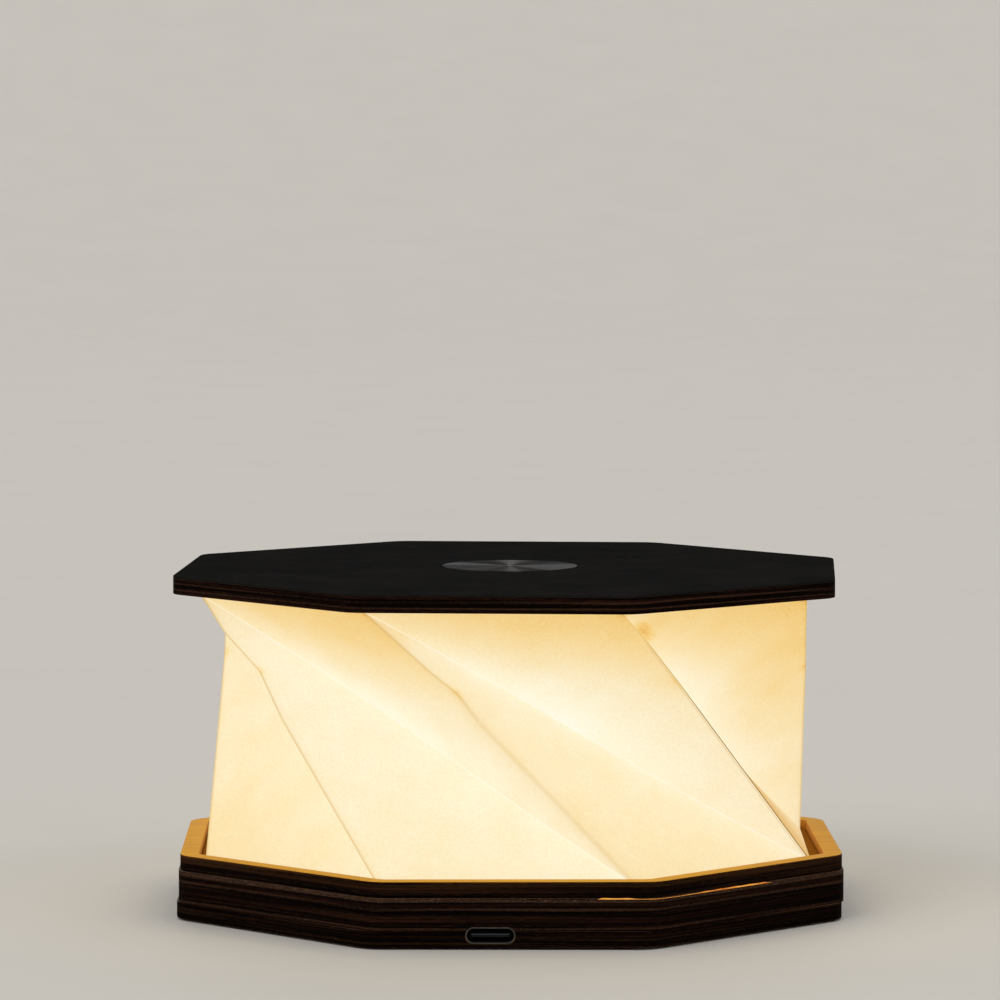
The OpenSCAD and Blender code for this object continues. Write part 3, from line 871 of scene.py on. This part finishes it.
# How the shade is lit, on a 0-255 scale. A panel is the number of its outer fold and its half:
# 0 leans out from that fold to an inner one, and 1 leans in from the inner fold to the next outer one
glowSet = {
    # beside each inner fold, on the panels above the folds, and on those below
    "fold": {"head": 166, "peak": 230, "foot": 202, "at": 0.42, "fall": 3},
    "upper": {"level": 194, "drop": 60, "low": 37, "high": 60.5},
    "lower": {"peak": 202, "footDrop": 18, "headDrop": 26, "at": 42, "bend": 1.5},
    "foldReach": {"upper": 9.5, "upperPower": 1.35, "lower": 12},
    # extra light close beside each inner fold, on the panel under it, and its strength along the fold
    "valleyLift": [9, 24, 12, 12, 14, 12, 14, 10],
    "liftReach": 4,
    "liftAlong": ((0.08, 0.2), (0.25, 1), (0.62, 1), (0.85, 0.4)),
    "headEdge": 16,  # extra light right at the plate
    "headCorner": {"depth": 12, "size": 7},
    "panelShift": {
        (0, 0): 6, (1, 0): -8, (2, 0): -12, (4, 0): -8, (6, 0): -4, (7, 0): -6,
        (1, 1): 2, (2, 1): -3, (5, 1): 3,
    },
    "ridgeShade": {"panel": (2, 0), "depth": 26, "reach": 9, "rise": 3, "start": 0.6},
    # dark spots where a fold kinks and where it meets the plate: place, depth and size
    "pinches": (("kink", 20, 1.5), ("kink", 38, 0.7), ("head", 60, 0.9)),
    # panel, middle of the mark in mm, its size, and its depth (below 0 it is a lighter mark)
    "marks": [
        ((2, 1), (24.1, -48.0, 55.0), 4.6, 12),
        ((2, 1), (27.5, -44.5, 50.5), 8.0, 12),
        ((2, 1), (23.0, -49.8, 55.8), 1.5, 36),
        ((2, 1), (23.45, -48.6, 55.1), 1.4, 30),
        ((2, 1), (24.0, -47.1, 54.2), 1.4, 34),
        ((2, 1), (24.6, -45.6, 53.3), 1.2, 38),
        ((2, 1), (48.28, -11.84, 41.06), 2.4, 9),
        ((2, 1), (51.5, -12.0, 40.0), 15.0, 24),
        ((2, 1), (53.0, 4.0, 20.0), 9.0, 12),
        ((1, 1), (14.0, -44.0, 43.0), 13.0, -9),
        ((7, 0), (-53.0, -22.0, 14.0), 11.0, 10),
        ((5, 1), (-20.0, 44.0, 40.0), 2.2, 9),
        ((4, 0), (30.0, 45.0, 24.0), 2.6, 8),
    ],
}


def besideFold(g, t):
    # rises from the head to its peak, then falls more slowly to the foot
    up = np.sin(np.pi / 2 * np.clip(t / g["at"], 0, 1))
    down = np.cos(np.pi / 2 * np.clip((t - g["at"]) / (1 - g["at"]), 0, 1)) ** g["fall"]
    rise = g["head"] + (g["peak"] - g["head"]) * up
    fall = g["foot"] + (g["peak"] - g["foot"]) * down
    return np.where(t < g["at"], rise, fall)


def upperGlow(g, z):
    # a panel that leans in grows dim under the plate
    share = np.clip((z - g["low"]) / (g["high"] - g["low"]), 0, 1)
    return g["level"] - g["drop"] * share * share * (3 - 2 * share)


def lowerGlow(g, z, head, foot):
    # a panel that leans out is dim at its head and at its foot
    below = np.clip((g["at"] - z) / (g["at"] - foot), 0, 1)
    above = np.clip((z - g["at"]) / (head - g["at"]), 0, 1)
    return g["peak"] - g["footDrop"] * below**2 - g["headDrop"] * above ** g["bend"]


def panelGlow(s, g, panel, t, spots, outer, valley, ridge):
    index, half = panel
    z = spots[:, 2]
    reach = g["foldReach"]
    beside = besideFold(g["fold"], t)
    if half:
        level = upperGlow(g["upper"], z)
        level += (beside - level) * np.exp(-((valley / reach["upper"]) ** reach["upperPower"]))
        corner = outer[(index + 1) % 8][0]
        level -= g["headCorner"]["depth"] * near(spots, corner, g["headCorner"]["size"], 1)
    else:
        level = lowerGlow(g["lower"], z, s["head"][2], s["foot"][2])
        level += (np.minimum(beside, g["fold"]["foot"]) - level) * np.exp(-valley / reach["lower"])
        level += g["valleyLift"][index] * np.exp(-valley / g["liftReach"]) * curve(t, g["liftAlong"])
    level += g["panelShift"].get(panel, 0) + g["headEdge"] * np.clip(1 - t * s["rows"], 0, 1)
    shade = g["ridgeShade"]
    if panel == shade["panel"]:
        begin = np.clip(t * shade["rise"] - shade["start"], 0, 1)
        level -= shade["depth"] * np.exp(-ridge / shade["reach"]) * begin
    rows = {"head": 0, "kink": int(round(s["bend"] * s["rows"]))}
    for fold in (index, (index + 1) % 8):
        level -= sum(depth * near(spots, outer[fold][rows[at]], size) for at, depth, size in g["pinches"])
    for owner, centre, size, depth in g["marks"]:
        if owner == panel:
            level -= depth * near(spots, np.array(centre), size, 4)
    return level


creaseSet = {
    # each outer crease: strength above and below its kink, then its width above and below
    "seams": [
        (0.38, 0.32, 1.5, 2.0), (0.26, 0.13, 2.2, 4.2), (0.62, 1.00, 0.8, 0.8), (0.40, 0.34, 1.1, 1.6),
        (0.36, 0.30, 1.2, 2.0), (0.44, 0.34, 0.9, 1.5), (0.36, 0.26, 1.4, 2.4), (0.42, 0.36, 1.0, 1.7),
    ],
    "change": 0.12,  # how soon below the kink the crease has changed
    "faint": {"fold": 2, "along": ((0.09, 0.35), (0.16, 1))},
    # a second crease beside the first one, on one panel
    "double": {"panel": (1, 1), "along": ((0.12, 0), (0.17, 1), (0.95, 1), (1, 0))},
    # how much each inner fold's light line is narrowed
    "foldLine": [0.0, 0.0, 0.24, 0.0, 0.05, 0.0, 0.05, 0.0],
}


def makePanel(s, panel, shares, outer, inner):
    # points of one panel between an outer and an inner fold, with its glow and its creases
    index, half = panel
    fold = (index + half) % 8
    left, right = (inner[index], outer[fold]) if half else (outer[fold], inner[index])
    spots = panelPoints(s, half, shares, left, right)
    t = np.tile(shares, s["columns"] + 1)
    valley = pathDistance(spots, inner[index])
    ridge = pathDistance(spots, outer[fold])
    level = panelGlow(s, glowSet, panel, t, spots, outer, valley, ridge)
    above, below, wideAbove, wideBelow = creaseSet["seams"][fold]
    changes = [0, s["bend"], s["bend"] + creaseSet["change"]]
    ridge = ridge / np.interp(t, changes, [wideAbove, wideAbove, wideBelow])
    seam = np.interp(t, changes, [above, above, below])
    if fold == creaseSet["faint"]["fold"]:
        seam = seam * curve(t, creaseSet["faint"]["along"])
    double = curve(t, creaseSet["double"]["along"]) * (panel == creaseSet["double"]["panel"])
    return spots, np.array([level / 255, valley + creaseSet["foldLine"][index], ridge, seam, double])


paperSet = {
    # colour of the lit paper for each level of the glow
    "lit": (
        (100, (226, 164, 74)), (124, (242, 197, 110)), (150, (248, 213, 144)), (184, (251, 228, 180)),
        (205, (253, 238, 204)), (225, (254, 248, 222)), (245, (255, 252, 240)),
    ),
    "fibre": 0.030, "cloud": 0.024,
    "soft": (232, 180, 98), "softShare": 0.10,
    "second": (190, 132, 66), "secondOff": 0.62, "secondWidth": 0.20, "secondShare": 0.40,
    "crease": (208, 166, 76), "creaseDark": (92, 60, 16),
    "valley": (255, 253, 242), "valleyShare": 0.5,
    "graze": (214, 160, 76),
    "paperDark": (122, 116, 92), "paperLight": (136, 130, 104), "paperCrease": (112, 98, 50),
}


def shadeLinks(tree):
    # the creases and the soft fall-off come from the mesh, the mottling from the nodes
    s = paperSet

    def stored(name):
        return addNode(tree, "ShaderNodeAttribute", attribute_name=name).outputs["Fac"]

    fibre = noiseOf(tree, place(tree), 1.9, 5, 0.7)
    cloud = noiseOf(tree, place(tree), 0.14, 4, 0.55)
    glow = calc(tree, "ADD", stored("glow"), remap(tree, fibre, 0.3, 0.7, -s["fibre"], s["fibre"]))
    glow = calc(tree, "ADD", glow, remap(tree, cloud, 0.3, 0.7, -s["cloud"], s["cloud"]))
    low = s["lit"][0][0]
    stops = [((level - low) / (255 - low), srgb(*colour)) for level, colour in s["lit"]]
    line = colourRamp(tree, remap(tree, glow, low / 255, 1.0), stops)

    # a soft brown band beside each outer crease, and on one panel a second crease in it
    soft = remap(tree, stored("ridge"), 0.1, 1.1, 1, 0, True)
    line = mixColour(tree, calc(tree, "MULTIPLY", soft, s["softShare"]), line, srgb(*s["soft"]))
    off = calc(tree, "ABSOLUTE", calc(tree, "SUBTRACT", stored("ridge"), s["secondOff"]))
    second = calc(tree, "MULTIPLY", remap(tree, off, 0.0, s["secondWidth"], 1, 0, True), stored("double"))
    line = mixColour(tree, calc(tree, "MULTIPLY", second, s["secondShare"]), line, srgb(*s["second"]))

    # outer creases are brown, and the strongest nearly black; inner ones are light
    ridge = remap(tree, stored("ridge"), 0.03, 0.32, 1, 0, True)
    valley = remap(tree, stored("valley"), 0.03, 0.26, 1, 0, True)
    tan = calc(tree, "MINIMUM", calc(tree, "MULTIPLY", stored("seam"), 1.5), 1.0)
    dark = remap(tree, stored("seam"), 0.5, 1.0)
    line = mixColour(tree, calc(tree, "MULTIPLY", ridge, tan), line, srgb(*s["crease"]))
    line = mixColour(tree, calc(tree, "MULTIPLY", ridge, dark), line, srgb(*s["creaseDark"]))
    line = mixColour(tree, calc(tree, "MULTIPLY", valley, s["valleyShare"]), line, srgb(*s["valley"]))

    # paper seen edge on is deeper in colour, most of all near a fold
    facing = addNode(tree, "ShaderNodeLayerWeight", {"Blend": 0.5}).outputs["Facing"]
    graze = remap(tree, facing, 0.90, 0.975, 0, 0.9, True)
    graze = calc(tree, "MULTIPLY", graze, remap(tree, stored("ridge"), 1, 40, 1, 0.45))
    line = mixColour(tree, graze, line, srgb(*s["graze"]))
    spots = remap(tree, fibre, 0.35, 0.65)
    paper = mixColour(tree, spots, srgb(*s["paperDark"]), srgb(*s["paperLight"]))
    return {
        "Base Color": mixColour(tree, calc(tree, "MULTIPLY", ridge, tan), paper, srgb(*s["paperCrease"])),
        "Emission Color": line,
        "Roughness": remap(tree, fibre, 0.3, 0.7, 0.74, 0.9),
        "Normal": bumpOf(tree, fibre, 0.16, 0.00006),
    }


made["shadePaper"] = newMaterial("shadePaper", shadeLinks, Specular_IOR_Level=0.12, Emission_Strength=0.84)


def makeShade(s):
    rows, columns = s["rows"], s["columns"]
    shares = np.linspace(0, 1, rows + 1)
    outer, inner = foldPaths(s, shares)
    points, ids, faces, corners, creases = [], {}, [], [], set()
    for panel in [(index, half) for index in range(8) for half in range(2)]:
        spots, values = makePanel(s, panel, shares, outer, inner)
        grid = []
        for spot in spots:
            key = tuple(np.round(spot, 3))  # panels share the points of the fold between them
            if key not in ids:
                ids[key] = len(points)
                points.append(spot)
            grid.append(ids[key])
        for side in (grid[: rows + 1], grid[-rows - 1 :]):
            creases.update(tuple(sorted(pair)) for pair in zip(side, side[1:]))
        for column in range(columns):
            for row in range(rows):
                start = column * (rows + 1) + row
                loop = {grid[at]: at for at in (start + rows + 1, start + rows + 2, start + 1, start)}
                if len(loop) > 2:
                    faces.append(tuple(reversed(loop)))
                    corners.extend(values[:, at] for at in reversed(loop.values()))
    mesh = newMesh("shadeSheet", [point * mm for point in points], faces)
    table = np.array(corners, dtype=np.float32)
    for name, column in zip(("glow", "valley", "ridge", "seam", "double"), table.T):
        mesh.attributes.new(name, "FLOAT", "CORNER").data.foreach_set("value", np.ascontiguousarray(column))
    mesh.polygons.foreach_set("use_smooth", [True] * len(mesh.polygons))
    for edge in mesh.edges:
        edge.use_edge_sharp = tuple(sorted(edge.vertices)) in creases
    piece = showPiece("shadeSheet", mesh, [made["shadePaper"]], "base")
    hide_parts("shade")
    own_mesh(piece)


makeShade(shadeSet)
print("shade made")
